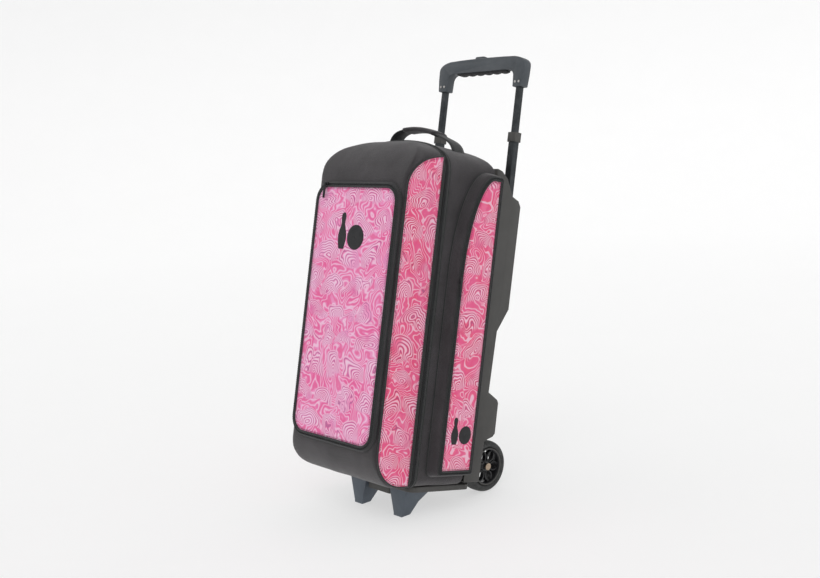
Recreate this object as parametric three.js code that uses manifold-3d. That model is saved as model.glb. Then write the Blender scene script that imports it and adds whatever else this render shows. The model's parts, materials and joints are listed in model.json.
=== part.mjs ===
// A wheeled bowling ball bag: a tall zipped fabric case for a stack of balls, a moulded back shell with a
// two-stage trolley handle, two wheels behind and two fixed feet in front.
// Units are millimetres. Everything is drawn in the bag's own upright frame, with X to the bag's left-right,
// Y to the back, Z up along the trolley tubes and the origin on the wheel axle. The whole bag then leans
// back about the axle until the feet stand flat on the floor at z = 0.
import * as THREE from "three";
import { mergeVertices } from "three/addons/utils/BufferGeometryUtils.js";
import Module from "manifold-3d";

const wasm = await Module();
wasm.setup();

// Driving dimensions
const GAP = 0.3;
const LEAN = THREE.MathUtils.degToRad(12.1);
const ORIGIN_SHIFT_Y = 114.45; // puts the bounding box's centre at y = 0

const CASE = { half: 155, front: -412, back: -125, bottom: -34, top: 760, eaves: 722, wall: 6 };
const CURVE = { lowZ: 50, lowY: -330, highZ: 640, highY: -290 };
const LID_EDGE = -298;
const ZIP_PROUD = 2.5;

const BALL_SHELVES = [221, 453];
const SHELF = { thickness: 14, front: -292, half: 140 };

const POCKET = { half: 147, low: 46, high: 646, radius: 44, depth: 6, panel: 5, wall: 5 };
const SIDE_POCKET = { front: -254, back: -128, low: -6, high: 704, depth: 32, panel: 6, wall: 5 };
const SIDE_CORNER = { low: 16, back: 12, sweepY: 90, sweepZ: 250 };

const WHEEL = { radius: 63.5, rim: 46.5, width: 44, outer: 118 };
const AXLE_RADIUS = 4;

const TUBE_X = 128;
const TUBE_Y = -50;
const OUTER_TUBE = { w: 25.6, d: 23, inW: 21.6, inD: 19, low: 400, high: 652 };
const MIDDLE_TUBE = { w: 20.6, d: 18, inW: 17.4, inD: 15.2, low: 590, high: 812 };
const UPPER_TUBE = { w: 15.6, d: 14.4, inW: 12.4, inD: 11.2, low: 760, high: 968 };
const COLLAR = { w: 26, d: 23, low: 798, high: 821 };
const GRIP = { half: 147, top: 1009, under: 976, socketLow: 932, socketHalf: 15, depth: 24 };
const BUTTON = { x: -12, half: 16, height: 7, depth: 12 };

const FOOT = { x: 71, soleHalf: 14, topHalf: 30, topFront: -256, topBack: -172 };
const TRAY = { top: -34.6, bottom: -48, half: 138, front: -278, back: -78 };

const STRAP = { y: -212, halfWidth: 20, thickness: 4, wrapFrom: -80, wrapTo: 38 };
const STRAP_ROUTE = [
  [-121, 726],
  [-116, 772],
  [-96, 794],
  [-50, 801],
  [0, 797],
  [50, 782],
  [92, 762],
  [112, 726],
];

const COLOUR = {
  fabric: 0x48464c,
  pink: 0xee87b9,
  plastic: 0x52524e,
  slate: 0x566068,
  black: 0x2a2e2e,
  tube: 0x343a3c,
  steel: 0x9a9a9c,
  rubber: 0x3c3c3c,
  foam: 0x6a6a70,
};

// Geometry helpers

function solidOf(geometry) {
  const bare = geometry.clone();
  bare.deleteAttribute("normal");
  bare.deleteAttribute("uv");
  const merged = mergeVertices(bare, 1e-3);
  return new wasm.Manifold(
    new wasm.Mesh({
      numProp: 3,
      vertProperties: merged.attributes.position.array,
      triVerts: new Uint32Array(merged.index.array),
    }),
  );
}

function geometryOf(solid) {
  const mesh = solid.getMesh();
  const geometry = new THREE.BufferGeometry();
  geometry.setAttribute("position", new THREE.BufferAttribute(mesh.vertProperties, mesh.numProp));
  geometry.setIndex(new THREE.BufferAttribute(mesh.triVerts, 1));
  geometry.computeVertexNormals();
  return geometry;
}

function extrude(shape, depth, segments = 8) {
  return new THREE.ExtrudeGeometry(shape, { depth, bevelEnabled: false, curveSegments: segments });
}

// An outline drawn in (x, z), running from y = front to y = back.
function alongY(shape, front, back, segments) {
  return solidOf(extrude(shape, back - front, segments).rotateX(Math.PI / 2).translate(0, back, 0));
}

// An outline drawn in (y, z), running from x = low to x = high.
function alongX(shape, low, high, segments) {
  const basis = new THREE.Matrix4().makeBasis(
    new THREE.Vector3(0, 1, 0),
    new THREE.Vector3(0, 0, 1),
    new THREE.Vector3(1, 0, 0),
  );
  return solidOf(extrude(shape, high - low, segments).applyMatrix4(basis).translate(low, 0, 0));
}

// An outline drawn in (x, y), running from z = low to z = high.
function alongZ(shape, low, high, segments) {
  return solidOf(extrude(shape, high - low, segments).translate(0, 0, low));
}

function roundedRect(x0, y0, x1, y1, radius) {
  const shape = new THREE.Shape();
  shape.moveTo(x0 + radius, y0);
  shape.lineTo(x1 - radius, y0);
  shape.absarc(x1 - radius, y0 + radius, radius, -Math.PI / 2, 0);
  shape.lineTo(x1, y1 - radius);
  shape.absarc(x1 - radius, y1 - radius, radius, 0, Math.PI / 2);
  shape.lineTo(x0 + radius, y1);
  shape.absarc(x0 + radius, y1 - radius, radius, Math.PI / 2, Math.PI);
  shape.lineTo(x0, y0 + radius);
  shape.absarc(x0 + radius, y0 + radius, radius, Math.PI, Math.PI * 1.5);
  return shape;
}

function polygon(points) {
  return new THREE.Shape(points.map(([a, b]) => new THREE.Vector2(a, b)));
}

function box(x0, x1, y0, y1, z0, z1) {
  const geometry = new THREE.BoxGeometry(x1 - x0, y1 - y0, z1 - z0);
  return solidOf(geometry.translate((x0 + x1) / 2, (y0 + y1) / 2, (z0 + z1) / 2));
}

// A turned piece about the X axis through (y, z); the profile's points are (radius, x).
function turned(profile, y = 0, z = 0, segments = 40) {
  const points = profile.map(([radius, x]) => new THREE.Vector2(radius, x));
  const geometry = new THREE.LatheGeometry(points, segments);
  return solidOf(geometry.rotateZ(-Math.PI / 2).translate(0, y, z));
}

function ring(inner, outer, low, high) {
  return turned([
    [inner, low],
    [outer, low],
    [outer, high],
    [inner, high],
    [inner, low],
  ]);
}

function disc(radius, low, high, y = 0, z = 0, segments = 40) {
  const profile = [
    [0, low],
    [radius, low],
    [radius, high],
    [0, high],
  ];
  return turned(profile, y, z, segments);
}

const bag = new THREE.Group();

function piece(name, solid, colour, roughness = 0.8, metalness = 0) {
  const material = new THREE.MeshStandardMaterial({ color: colour, roughness, metalness });
  const mesh = new THREE.Mesh(geometryOf(solid), material);
  mesh.name = name;
  bag.add(mesh);
  return mesh;
}

const SIDES = [
  { name: "left", sign: -1 },
  { name: "right", sign: 1 },
];

// The fabric case

// The case seen from the side, drawn in (y, z), its faces pulled in by inset.
function caseSide(inset) {
  const front = CASE.front + inset;
  const back = CASE.back - inset;
  const low = CASE.bottom + inset;
  const high = CASE.top - inset;
  const shape = new THREE.Shape();
  shape.moveTo(back, low);
  shape.lineTo(back, high - 40);
  shape.quadraticCurveTo(back - 8, high - 4, back - 60, high);
  shape.lineTo(CURVE.highY, high);
  shape.absellipse(CURVE.highY, CURVE.highZ, CURVE.highY - front, high - CURVE.highZ, Math.PI / 2, Math.PI);
  shape.lineTo(front, CURVE.lowZ);
  shape.absellipse(CURVE.lowY, CURVE.lowZ, CURVE.lowY - front, CURVE.lowZ - low, Math.PI, Math.PI * 1.5);
  return shape;
}

// The case seen from the front, drawn in (x, z): round lower corners and a crowned top.
function caseFront(inset) {
  const half = CASE.half - inset;
  const low = CASE.bottom + inset;
  const high = CASE.top - inset;
  const eaves = CASE.eaves - inset;
  const radius = 26;
  const shape = new THREE.Shape();
  shape.moveTo(-half + radius, low);
  shape.lineTo(half - radius, low);
  shape.absarc(half - radius, low + radius, radius, -Math.PI / 2, 0);
  shape.lineTo(half, eaves - 30);
  shape.quadraticCurveTo(half - 2, eaves + 8, half - 44, eaves + 22);
  shape.quadraticCurveTo(half / 2, high, 0, high);
  shape.quadraticCurveTo(-half / 2, high, -half + 44, eaves + 22);
  shape.quadraticCurveTo(-half + 2, eaves + 8, -half, eaves - 30);
  shape.lineTo(-half, low + radius);
  shape.absarc(-half + radius, low + radius, radius, Math.PI, Math.PI * 1.5);
  return shape;
}

// The case seen from above, drawn in (x, y), with its two front edges rounded.
function casePlan(inset) {
  const half = CASE.half - inset;
  const front = CASE.front + inset;
  const back = CASE.back - inset;
  const radius = 16;
  const shape = new THREE.Shape();
  shape.moveTo(-half, back);
  shape.lineTo(-half, front + radius);
  shape.absarc(-half + radius, front + radius, radius, Math.PI, Math.PI * 1.5);
  shape.lineTo(half - radius, front);
  shape.absarc(half - radius, front + radius, radius, -Math.PI / 2, 0);
  shape.lineTo(half, back);
  return shape;
}

function caseSolid(inset) {
  const half = CASE.half - inset;
  return alongX(caseSide(inset), -half, half)
    .intersect(alongY(caseFront(inset), CASE.front - 10, CASE.back + 10))
    .intersect(alongZ(casePlan(inset), CASE.bottom - 10, CASE.top + 10, 5));
}

function slice(y0, y1) {
  return box(-400, 400, y0, y1, -200, 1200);
}

function addCase() {
  const outer = caseSolid(0);
  const inner = caseSolid(CASE.wall);
  piece("case_body", outer.intersect(slice(LID_EDGE + GAP, 0)).subtract(inner), COLOUR.fabric);
  piece("lid", outer.intersect(slice(-500, LID_EDGE)).subtract(inner), COLOUR.pink);

  const proud = caseSolid(-ZIP_PROUD);
  const clear = caseSolid(-GAP);
  piece("main_zip", proud.intersect(slice(-294, -281)).subtract(clear), COLOUR.black, 0.6);
  piece("lid_piping", proud.intersect(slice(-303, -299)).subtract(clear), COLOUR.black, 0.6);
}

// Foam that holds the balls: a base pad, a back pad and a shelf above each lower ball.
function addBallPadding() {
  const floor = CASE.bottom + CASE.wall + GAP;
  const back = CASE.back - CASE.wall - GAP;
  piece("base_pad", box(-120, 120, -290, back - 14, floor, 3), COLOUR.foam, 0.95);
  piece("back_pad", box(-120, 120, back - 12, back, floor, 700), COLOUR.foam, 0.95);
  BALL_SHELVES.forEach((z, index) => {
    const shape = roundedRect(-SHELF.half, SHELF.front, SHELF.half, back - 12 - GAP, 12);
    piece("ball_shelf_" + (index + 1), alongZ(shape, z, z + SHELF.thickness), COLOUR.foam, 0.95);
  });
}

// The front pocket on the lid: a shallow gusset, a panel that opens on its left edge and a zip round it.
function addFrontPocket() {
  const lidFace = CASE.front - GAP;
  const gussetFront = lidFace - POCKET.depth;
  const outline = (inset) =>
    roundedRect(
      -POCKET.half + inset,
      POCKET.low + inset,
      POCKET.half - inset,
      POCKET.high - inset,
      POCKET.radius - inset,
    );
  const flatFace = slice(gussetFront - 60, lidFace);
  const gusset = alongY(outline(0), gussetFront, CASE.front + 40)
    .subtract(alongY(outline(POCKET.wall), gussetFront - 5, CASE.front + 45))
    .subtract(caseSolid(-GAP))
    .intersect(flatFace.add(slice(lidFace, CASE.front + 30)));
  piece("front_pocket_gusset", gusset, COLOUR.black, 0.7);
  const panelBack = gussetFront - GAP;
  piece("front_pocket_panel", alongY(outline(9), panelBack - POCKET.panel, panelBack), COLOUR.pink);
  const zip = alongY(outline(0), panelBack - POCKET.panel + 1, panelBack).subtract(
    alongY(outline(9 - GAP), panelBack - 20, panelBack + 20),
  );
  piece("front_pocket_zip", zip, COLOUR.black, 0.6);
}

// The side pocket seen from the side, drawn in (y, z): its front edge sweeps back in a long curve to the top.
function sidePocketOutline(inset) {
  const front = SIDE_POCKET.front + inset;
  const back = SIDE_POCKET.back - inset;
  const low = SIDE_POCKET.low + inset;
  const high = SIDE_POCKET.high - inset;
  const { sweepY, sweepZ } = SIDE_CORNER;
  const lowRadius = SIDE_CORNER.low;
  const backRadius = SIDE_CORNER.back;
  const shape = new THREE.Shape();
  shape.moveTo(front + lowRadius, low);
  shape.lineTo(back - backRadius, low);
  shape.absarc(back - backRadius, low + backRadius, backRadius, -Math.PI / 2, 0);
  shape.lineTo(back, high - backRadius);
  shape.absarc(back - backRadius, high - backRadius, backRadius, 0, Math.PI / 2);
  shape.lineTo(front + sweepY, high);
  shape.absellipse(front + sweepY, high - sweepZ, sweepY, sweepZ, Math.PI / 2, Math.PI);
  shape.lineTo(front, low + lowRadius);
  shape.absarc(front + lowRadius, low + lowRadius, lowRadius, Math.PI, Math.PI * 1.5);
  return shape;
}

function addSidePocket(side) {
  const tube = (shape, from, to) => {
    const low = side.sign > 0 ? from : -to;
    const high = side.sign > 0 ? to : -from;
    return alongX(shape, low, high, 12);
  };
  const start = CASE.half + GAP;
  const face = CASE.half + SIDE_POCKET.depth;
  const gusset = tube(sidePocketOutline(0), start, face).subtract(tube(sidePocketOutline(SIDE_POCKET.wall), start - 5, face + 5));
  piece("side_pocket_gusset_" + side.name, gusset, COLOUR.black, 0.7);
  const panel = tube(sidePocketOutline(9), face + GAP, face + GAP + SIDE_POCKET.panel);
  piece("side_pocket_panel_" + side.name, panel, COLOUR.pink);
  const zip = tube(sidePocketOutline(0), face + GAP, face + GAP + SIDE_POCKET.panel - 1).subtract(
    tube(sidePocketOutline(9 - GAP), face - 20, face + 30),
  );
  piece("side_pocket_zip_" + side.name, zip, COLOUR.black, 0.6);
}

// A webbing strap that arches over the top from side to side, with a thicker hand wrap round its middle.
function strapBand(low, high, from, to, halfWidth) {
  const route = new THREE.SplineCurve(STRAP_ROUTE.map(([x, z]) => new THREE.Vector2(x, z)));
  const steps = 36;
  const under = [];
  const over = [];
  for (let i = 0; i <= steps; i++) {
    const point = route.getPoint(i / steps);
    if (point.x < from || point.x > to) continue;
    const tangent = route.getTangent(i / steps);
    const up = new THREE.Vector2(-tangent.y, tangent.x);
    under.push([point.x + up.x * low, point.y + up.y * low]);
    over.push([point.x + up.x * high, point.y + up.y * high]);
  }
  return alongY(polygon([...under, ...over.reverse()]), STRAP.y - halfWidth, STRAP.y + halfWidth);
}

function addCarryStrap() {
  const strap = strapBand(0, STRAP.thickness, -200, 200, STRAP.halfWidth).subtract(caseSolid(-GAP));
  piece("carry_strap", strap, COLOUR.black, 0.8);
  const { wrapFrom, wrapTo, halfWidth, thickness } = STRAP;
  const core = strapBand(-GAP, thickness + GAP, wrapFrom - 20, wrapTo + 20, halfWidth + GAP);
  const wrap = strapBand(-4, thickness + 4, wrapFrom, wrapTo, halfWidth + 4).subtract(core);
  piece("carry_wrap", wrap, COLOUR.black, 0.8);
}

// The moulded back shell

function hullSide(points, inset) {
  return polygon(points.map(([y, z]) => [y - inset, z]));
}

const RIDGE = [
  [-124.7, 722],
  [-108, 718],
  [-86, 702],
  [-64, 664],
  [-40, 655],
  [-31, 642],
  [-33, 392],
  [-66, 337],
  [-71, 190],
  [-38, 172],
  [-33, 164],
  [-33, 90],
  [-40, 82],
  [-68, 72],
  [-72, -26],
  [-124.7, -26],
];
const MIDDLE = [
  [-124.7, 722],
  [-108, 718],
  [-92, 700],
  [-86, 640],
  [-88, -26],
  [-124.7, -26],
];

function tubeChannel(sign, margin, low, high) {
  const w = OUTER_TUBE.w / 2 + margin;
  const d = OUTER_TUBE.d / 2 + margin;
  const x = sign * TUBE_X;
  return box(x - w, x + w, TUBE_Y - d, TUBE_Y + d, low, high);
}

function addBackShell() {
  const wall = 4;
  const half = 157;
  const ridgeInner = 92;
  const inner = CASE.back - 1;
  let shell = alongX(hullSide(MIDDLE, 0), -ridgeInner - 6, ridgeInner + 6).subtract(
    alongX(hullSide(MIDDLE, wall), -ridgeInner - 7, ridgeInner + 7).intersect(
      box(-200, 200, inner - 20, 0, -26 + wall, 708),
    ),
  );
  for (const { sign } of SIDES) {
    const [low, high] = sign > 0 ? [ridgeInner, half] : [-half, -ridgeInner];
    const hollow = alongX(hullSide(RIDGE, wall), low + wall, high - wall).intersect(
      box(-200, 200, inner - 20, 0, -26 + wall, 640),
    );
    shell = shell.subtract(box(low, high, -130, 0, -30, 800)).add(alongX(hullSide(RIDGE, 0), low, high));
    shell = shell.subtract(hollow);
  }
  for (const { sign } of SIDES) {
    const boss = tubeChannel(sign, 5, OUTER_TUBE.low - 8, 650).intersect(
      alongX(hullSide(RIDGE, 0), -half, half),
    );
    shell = shell.add(boss).subtract(tubeChannel(sign, GAP, OUTER_TUBE.low - GAP, 800));
  }
  piece("back_shell", shell, COLOUR.plastic, 0.55);
}

function addAxle() {
  const reach = WHEEL.outer - 4;
  piece("axle_rod", disc(AXLE_RADIUS, -reach, reach, 0, 0, 24), COLOUR.steel, 0.35, 0.9);
  for (const side of SIDES) {
    const profile = polygon([
      [-71.5, 40],
      [-20, 16],
      [8, 10],
      [12, 0],
      [8, -10],
      [-20, -14],
      [-71.5, -22],
    ]);
    const arm = (low, high) => alongX(profile, low, high).subtract(disc(AXLE_RADIUS + GAP, low - 5, high + 5));
    const solid = side.sign > 0 ? arm(50, 68) : arm(-68, -50);
    piece("axle_bracket_" + side.name, solid.subtract(box(-200, 200, -90, -87.7, -60, 90)), COLOUR.plastic, 0.55);
  }
}

function addWheel(side) {
  const outer = WHEEL.outer;
  const inner = outer - WHEEL.width;
  const name = (part) => part + "_" + side.name;
  const put = (label, solid, colour, roughness, metalness) => {
    const turnedSolid = side.sign > 0 ? solid : solid.rotate([0, 0, 180]);
    piece(name(label), turnedSolid, colour, roughness, metalness);
  };
  const tread = turned([
    [WHEEL.rim + GAP, inner + 5],
    [WHEEL.radius - 7, inner],
    [WHEEL.radius - 1, inner + 7],
    [WHEEL.radius, inner + 14],
    [WHEEL.radius, outer - 14],
    [WHEEL.radius - 1, outer - 7],
    [WHEEL.radius - 7, outer],
    [WHEEL.rim + GAP, outer - 5],
    [WHEEL.rim + GAP, inner + 5],
  ], 0, 0, 64);
  put("tyre", tread, COLOUR.rubber, 0.9);
  let hub = ring(WHEEL.rim - 6, WHEEL.rim, inner + 5, outer - 5).add(ring(11.3, 17, inner + 3, outer - 8));
  for (let i = 0; i < 6; i++) {
    const spoke = box(outer - 30, outer - 10, -4.5, 4.5, 14, WHEEL.rim - 3);
    hub = hub.add(spoke.rotate([60 * i, 0, 0]));
  }
  put("hub", hub, COLOUR.black, 0.5);
  put("bearing", ring(AXLE_RADIUS + 0.1, 11, outer - 20, outer - 9), COLOUR.steel, 0.3, 0.9);
  put("axle_cap", disc(9, outer - 3.5, outer, 0, 0, 28), COLOUR.steel, 0.3, 0.9);
}

function addBase() {
  const plan = roundedRect(-TRAY.half, TRAY.front, TRAY.half, TRAY.back, 20);
  const rib = box(-38, 38, -250, -206, -72, TRAY.bottom + 2);
  piece("base_tray", alongZ(plan, TRAY.bottom, TRAY.top).add(rib), COLOUR.plastic, 0.6);
  const soleZ = (y) => (y * Math.sin(LEAN) - WHEEL.radius) / Math.cos(LEAN);
  const top = TRAY.bottom - GAP;
  const profile = polygon([
    [FOOT.topFront, top],
    [-245.8, soleZ(-245.8)],
    [-219.4, soleZ(-219.4)],
    [-204, -80],
    [FOOT.topBack, top],
  ]);
  for (const side of SIDES) {
    const x = side.sign * FOOT.x;
    const front = polygon([
      [x - FOOT.topHalf, top + 1],
      [x - FOOT.soleHalf, -112],
      [x - FOOT.soleHalf, -130],
      [x + FOOT.soleHalf, -130],
      [x + FOOT.soleHalf, -112],
      [x + FOOT.topHalf, top + 1],
    ]);
    const foot = alongX(profile, x - 60, x + 60).intersect(alongY(front, -300, -100));
    piece("foot_" + side.name, foot, COLOUR.slate, 0.6);
  }
}

// The trolley handle

function hollowTube(sizes, x) {
  const { w, d, inW, inD, low, high } = sizes;
  const outline = (width, depth) => {
    return roundedRect(x - width / 2, TUBE_Y - depth / 2, x + width / 2, TUBE_Y + depth / 2, 3);
  };
  return alongZ(outline(w, d), low, high, 3).subtract(alongZ(outline(inW, inD), low - 5, high + 5, 3));
}

function addTrolley(side) {
  const x = side.sign * TUBE_X;
  piece("outer_tube_" + side.name, hollowTube(OUTER_TUBE, x), COLOUR.tube, 0.35, 0.8);
  piece("middle_tube_" + side.name, hollowTube(MIDDLE_TUBE, x), COLOUR.tube, 0.35, 0.8);
  piece("upper_tube_" + side.name, hollowTube(UPPER_TUBE, x), COLOUR.tube, 0.35, 0.8);
  const blockOf = (width, depth, low, high) => {
    return alongZ(
      roundedRect(x - width / 2, TUBE_Y - depth / 2, x + width / 2, TUBE_Y + depth / 2, 3),
      low,
      high,
      3,
    );
  };
  const collar = blockOf(COLLAR.w, COLLAR.d, COLLAR.low, COLLAR.high)
    .subtract(blockOf(MIDDLE_TUBE.w + 0.6, MIDDLE_TUBE.d + 0.6, COLLAR.low - 1, MIDDLE_TUBE.high + GAP))
    .subtract(blockOf(UPPER_TUBE.w + 0.8, UPPER_TUBE.d + 0.8, COLLAR.low, COLLAR.high + 1));
  piece("collar_" + side.name, collar, COLOUR.plastic, 0.5);
}

// The grip seen from the front, drawn in (x, z): a bar whose two ends bend down into the tube sockets.
function gripOutline() {
  const { half, top, under, socketLow, socketHalf } = GRIP;
  const outX = TUBE_X + socketHalf;
  const inX = TUBE_X - socketHalf;
  const shape = new THREE.Shape();
  shape.moveTo(-outX, socketLow);
  shape.lineTo(-outX - 3, 960);
  shape.lineTo(-half, 984);
  shape.quadraticCurveTo(-half, top - 6, -half + 38, top - 1);
  shape.quadraticCurveTo(0, top + 4, half - 38, top - 1);
  shape.quadraticCurveTo(half, top - 6, half, 984);
  shape.lineTo(outX + 3, 960);
  shape.lineTo(outX, socketLow);
  shape.lineTo(inX, socketLow);
  shape.lineTo(inX - 2, 962);
  shape.quadraticCurveTo(inX - 6, under, inX - 24, under);
  shape.lineTo(-inX + 24, under);
  shape.quadraticCurveTo(-inX + 6, under, -inX + 2, 962);
  shape.lineTo(-inX, socketLow);
  return shape;
}

function addGrip() {
  const half = GRIP.depth / 2;
  let grip = alongY(gripOutline(), TUBE_Y - half, TUBE_Y + half, 6);
  for (const { sign } of SIDES) {
    const x = sign * TUBE_X;
    const w = UPPER_TUBE.w / 2 + GAP;
    const d = UPPER_TUBE.d / 2 + GAP;
    grip = grip.subtract(box(x - w, x + w, TUBE_Y - d, TUBE_Y + d, 900, UPPER_TUBE.high + GAP));
  }
  const well = box(
    BUTTON.x - BUTTON.half - GAP,
    BUTTON.x + BUTTON.half + GAP,
    TUBE_Y - BUTTON.depth / 2 - GAP,
    TUBE_Y + BUTTON.depth / 2 + GAP,
    GRIP.top - 9,
    GRIP.top + 20,
  );
  piece("grip", grip.subtract(well), COLOUR.slate, 0.5);
  const { x: middle, half: reach } = BUTTON;
  const button = roundedRect(middle - reach, GRIP.top - 2, middle + reach, GRIP.top + BUTTON.height, 4);
  const buttonSolid = alongY(button, TUBE_Y - BUTTON.depth / 2, TUBE_Y + BUTTON.depth / 2);
  piece("release_button", buttonSolid, COLOUR.black, 0.5);
  addFingerGrip();
  for (const side of SIDES) {
    for (const offset of [-6, 6]) {
      const x = side.sign * TUBE_X + offset;
      const y = TUBE_Y - half - GAP;
      const head = new THREE.CylinderGeometry(3, 3, 1.6, 20);
      const name = "grip_screw_" + side.name + (offset < 0 ? "_a" : "_b");
      piece(name, solidOf(head.translate(x, y - 0.8, 944)), COLOUR.steel, 0.3, 0.9);
    }
  }
}

// The soft strip under the bar, with a shallow bump for each finger.
function addFingerGrip() {
  const bumps = 6;
  const half = 84;
  const top = GRIP.under - GAP;
  const shape = new THREE.Shape();
  shape.moveTo(half, top);
  for (let i = 0; i < bumps; i++) {
    const from = half - (2 * half * i) / bumps;
    const to = half - (2 * half * (i + 1)) / bumps;
    if (i === 0) shape.lineTo(from, top - 3);
    shape.quadraticCurveTo((from + to) / 2, top - 9, to, top - 3);
  }
  shape.lineTo(-half, top);
  piece("finger_grip", alongY(shape, TUBE_Y - 9, TUBE_Y + 9, 5), COLOUR.black, 0.85);
}

// Zip sliders and their pull tabs

function addFrontSlider() {
  const x = -108;
  const y = CASE.front - GAP - POCKET.depth - GAP - POCKET.panel + 1;
  const z = POCKET.high - 5;
  piece("front_slider", box(x - 7, x + 7, y - 4, y - GAP, z - 4, z + 4), COLOUR.black, 0.4, 0.5);
  piece("front_pull", box(x - 3.5, x + 3.5, y - 7, y - 5, z - 34, z + 1.5), COLOUR.black, 0.5);
}

function addSideSlider(side) {
  const face = CASE.half + SIDE_POCKET.depth + GAP + SIDE_POCKET.panel - 1;
  const y = SIDE_POCKET.front + 5;
  const z = SIDE_POCKET.high - SIDE_CORNER.sweepZ - 8;
  const plate = (near, far, y0, y1, z0, z1) => {
    const low = side.sign > 0 ? face + near : -face - far;
    const high = side.sign > 0 ? face + far : -face - near;
    return box(low, high, y0, y1, z0, z1);
  };
  piece("side_slider_" + side.name, plate(GAP, 4, y - 4, y + 4, z - 7, z + 7), COLOUR.black, 0.4, 0.5);
  piece("side_pull_" + side.name, plate(5, 7, y - 3.5, y + 3.5, z - 36, z + 1.5), COLOUR.black, 0.5);
}

function addMainSlider() {
  const face = CASE.half;
  const z = 650;
  const y = -308;
  piece("main_slider", box(-face - 4, -face - GAP, y - 4, y + 4, z - 7, z + 7), COLOUR.black, 0.4, 0.5);
  piece("main_pull", box(-face - 7, -face - 5, y - 3.5, y + 3.5, z - 36, z + 1.5), COLOUR.black, 0.5);
}

addCase();
addBallPadding();
addFrontPocket();
addCarryStrap();
addBackShell();
addAxle();
addBase();
addGrip();
addFrontSlider();
addMainSlider();
for (const side of SIDES) {
  addSidePocket(side);
  addSideSlider(side);
  addWheel(side);
  addTrolley(side);
}

bag.rotation.x = -LEAN;
bag.position.set(0, ORIGIN_SHIFT_Y, WHEEL.radius);

const bowlingBallBag = new THREE.Group();
bowlingBallBag.add(bag);
export default bowlingBallBag;
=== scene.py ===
"""A wheeled bowling ball bag: soft goods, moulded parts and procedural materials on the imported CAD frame."""

import json
import math

import bmesh
import bpy
import numpy as np
from mathutils import Matrix, Vector, noise


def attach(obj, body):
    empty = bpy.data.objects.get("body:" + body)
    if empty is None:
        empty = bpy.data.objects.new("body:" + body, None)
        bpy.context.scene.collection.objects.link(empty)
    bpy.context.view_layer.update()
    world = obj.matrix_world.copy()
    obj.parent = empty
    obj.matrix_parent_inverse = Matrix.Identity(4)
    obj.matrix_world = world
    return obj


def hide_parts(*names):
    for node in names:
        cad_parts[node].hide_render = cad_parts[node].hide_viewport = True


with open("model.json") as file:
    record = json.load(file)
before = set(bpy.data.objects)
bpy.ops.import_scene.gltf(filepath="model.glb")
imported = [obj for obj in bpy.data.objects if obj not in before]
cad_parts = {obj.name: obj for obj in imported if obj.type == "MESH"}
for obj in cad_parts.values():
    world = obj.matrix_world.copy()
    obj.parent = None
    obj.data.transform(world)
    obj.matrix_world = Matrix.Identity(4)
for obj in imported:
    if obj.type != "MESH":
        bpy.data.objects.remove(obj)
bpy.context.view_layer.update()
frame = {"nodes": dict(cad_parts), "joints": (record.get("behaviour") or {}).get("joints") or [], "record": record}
JOINTS = {joint["name"]: joint for joint in frame["joints"]}

# The bag's own upright frame: origin on the axle, Z along the trolley tubes, leaning back in the row frame.
UP = Vector(JOINTS["trolley_lower_slide"]["axis"]).normalized()
LEAN = math.atan2(UP.y, UP.z)
AXLE_Y, AXLE_Z = JOINTS["wheel_spin_right"]["pos_m"][1:]
BAG = Matrix.Translation((0, AXLE_Y, AXLE_Z)) @ Matrix.Rotation(-LEAN, 4, "X")
BAG_INVERSE = BAG.inverted()
MM = 0.001
SIDES = (("left", -1), ("right", 1))


def bag_box(node):
    """Lowest and highest corner of a CAD node in the bag's own frame, in metres."""
    points = np.array([BAG_INVERSE @ v.co for v in frame["nodes"][node].data.vertices])
    return points.min(0), points.max(0)


CASE_LOW, CASE_HIGH = bag_box("case_body")
LID_LOW, LID_HIGH = bag_box("lid")
CASE_HALF = CASE_HIGH[0]
CASE_BOTTOM = CASE_LOW[2]
CASE_TOP = CASE_HIGH[2]
LID_EDGE = LID_HIGH[1]
LID_FRONT = LID_LOW[1]
EAVES = CASE_TOP - 40 * MM


# ---------------------------------------------------------------- materials

def shader(name, colour, roughness, metallic=0.0, **sockets):
    """A material with one Principled shader, and the constant values set on its own sockets."""
    material = bpy.data.materials.new(name)
    material.use_nodes = True
    bsdf = material.node_tree.nodes["Principled BSDF"]
    bsdf.inputs["Base Color"].default_value = (*colour, 1)
    bsdf.inputs["Roughness"].default_value = roughness
    bsdf.inputs["Metallic"].default_value = metallic
    for socket, value in sockets.items():
        bsdf.inputs[socket.replace("_", " ")].default_value = value
    return material, material.node_tree, bsdf


def node(tree, kind, **values):
    """Adds a node; values name its properties, or its input sockets where it has no such property."""
    made = tree.nodes.new(kind)
    for key, value in values.items():
        if hasattr(made, key):
            setattr(made, key, value)
        else:
            made.inputs[key.replace("_", " ")].default_value = value
    return made


def maths(tree, operation, first, second=0.5):
    made = node(tree, "ShaderNodeMath", operation=operation)
    for socket, value in zip(made.inputs, (first, second)):
        if hasattr(value, "is_output"):
            tree.links.new(value, socket)
        else:
            socket.default_value = value
    return made.outputs[0]


def ramp(tree, factor, *stops):
    made = tree.nodes.new("ShaderNodeValToRGB")
    elements = made.color_ramp.elements
    while len(elements) < len(stops):
        elements.new(0.5)
    for element, (position, colour) in zip(elements, stops):
        element.position = position
        element.color = colour if len(colour) == 4 else (*colour, 1)
    tree.links.new(factor, made.inputs[0])
    return made.outputs[0]


def mix(tree, factor, first, second):
    made = tree.nodes.new("ShaderNodeMix")
    made.data_type = "RGBA"
    for socket, value in ((made.inputs[0], factor), (made.inputs[6], first), (made.inputs[7], second)):
        if hasattr(value, "is_output"):
            tree.links.new(value, socket)
        elif isinstance(value, tuple):
            socket.default_value = (*value, 1)
        else:
            socket.default_value = value
    return made.outputs[2]


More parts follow.
